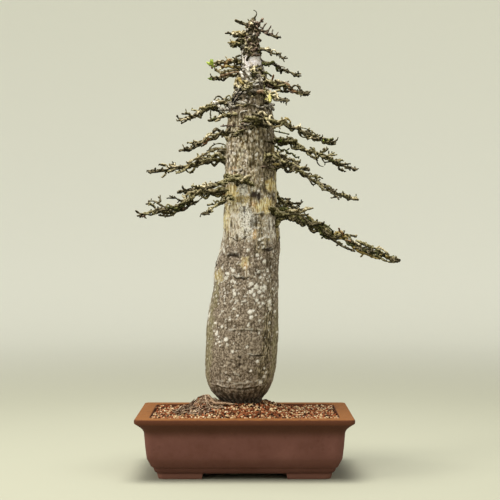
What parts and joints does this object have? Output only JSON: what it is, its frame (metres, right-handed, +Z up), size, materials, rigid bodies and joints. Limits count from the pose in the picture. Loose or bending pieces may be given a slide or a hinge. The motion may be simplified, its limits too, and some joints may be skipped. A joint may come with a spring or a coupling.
{
  "type": "potted elephant tree",
  "caption": "Bonsai-trained elephant tree with a swollen, tapering bare trunk and knotted leafless limbs, in an oblong footed clay tray of grit.",
  "frame": {"origin": "under the middle of the whole plant's bounding box, on the plane that the tray's feet stand on", "axes": "+Z up along the trunk, X along the tray's long side, -Y towards the viewer's side of the plant"},
  "size_m": [0.5342, 0.3636, 0.9492],
  "materials": {
    "clay": "unglazed matt red-brown clay",
    "grit": "loose grit of crushed clay, bark and pumice",
    "trunk_bark": "rough grey-brown bark with pale lichen",
    "limb_bark": "knotted brown bark",
    "twig_bark": "fine dark twigs"
  },
  "bodies": {
    "root": {"pot": "clay", "soil": "grit", "trunk": "trunk_bark", "crest_back_twigs": "twig_bark", "crest_left_low_twigs": "twig_bark", "crest_left_twigs": "twig_bark", "crest_right_twigs": "twig_bark", "crown_front_twigs": "twig_bark", "front_left_bough": "limb_bark", "front_left_twigs": "twig_bark", "front_right_bough": "limb_bark", "front_right_twigs": "twig_bark", "high_back_bough": "limb_bark", "high_back_twigs": "twig_bark", "high_front_twigs": "twig_bark", "high_left_bough": "limb_bark", "high_left_front_twigs": "twig_bark", "high_left_twigs": "twig_bark", "high_right_bough": "limb_bark", "high_right_twigs": "twig_bark", "leader_twigs": "twig_bark", "low_back_bough": "limb_bark", "low_back_twigs": "twig_bark", "low_left_bough": "limb_bark", "low_left_front_twigs": "twig_bark", "low_left_twigs": "twig_bark", "low_right_back_bough": "limb_bark", "low_right_back_twigs": "twig_bark", "low_right_bough": "limb_bark", "low_right_twigs": "twig_bark", "mid_back_bough": "limb_bark", "mid_back_twigs": "twig_bark", "mid_left_back_twigs": "twig_bark", "mid_left_bough": "limb_bark", "mid_left_twigs": "twig_bark", "mid_right_back_twigs": "twig_bark", "mid_right_bough": "limb_bark", "mid_right_twigs": "twig_bark", "neck_back_twigs": "twig_bark", "neck_front_right_twigs": "twig_bark", "neck_front_twigs": "twig_bark", "neck_left_back_twigs": "twig_bark", "neck_left_twigs": "twig_bark", "neck_right_back_twigs": "twig_bark", "neck_right_bough": "limb_bark", "neck_right_twigs": "twig_bark", "shoulder_back_bough": "limb_bark", "shoulder_back_twigs": "twig_bark", "shoulder_front_right_twigs": "twig_bark", "shoulder_front_twigs": "twig_bark", "shoulder_right_bough": "limb_bark", "shoulder_right_twigs": "twig_bark", "tip_left_twigs": "twig_bark", "upper_back_bough": "limb_bark", "upper_back_twigs": "twig_bark", "upper_mid_left_bough": "limb_bark", "upper_mid_left_twigs": "twig_bark", "upper_mid_right_bough": "limb_bark", "upper_mid_right_twigs": "twig_bark"}
  },
  "joints": []
}
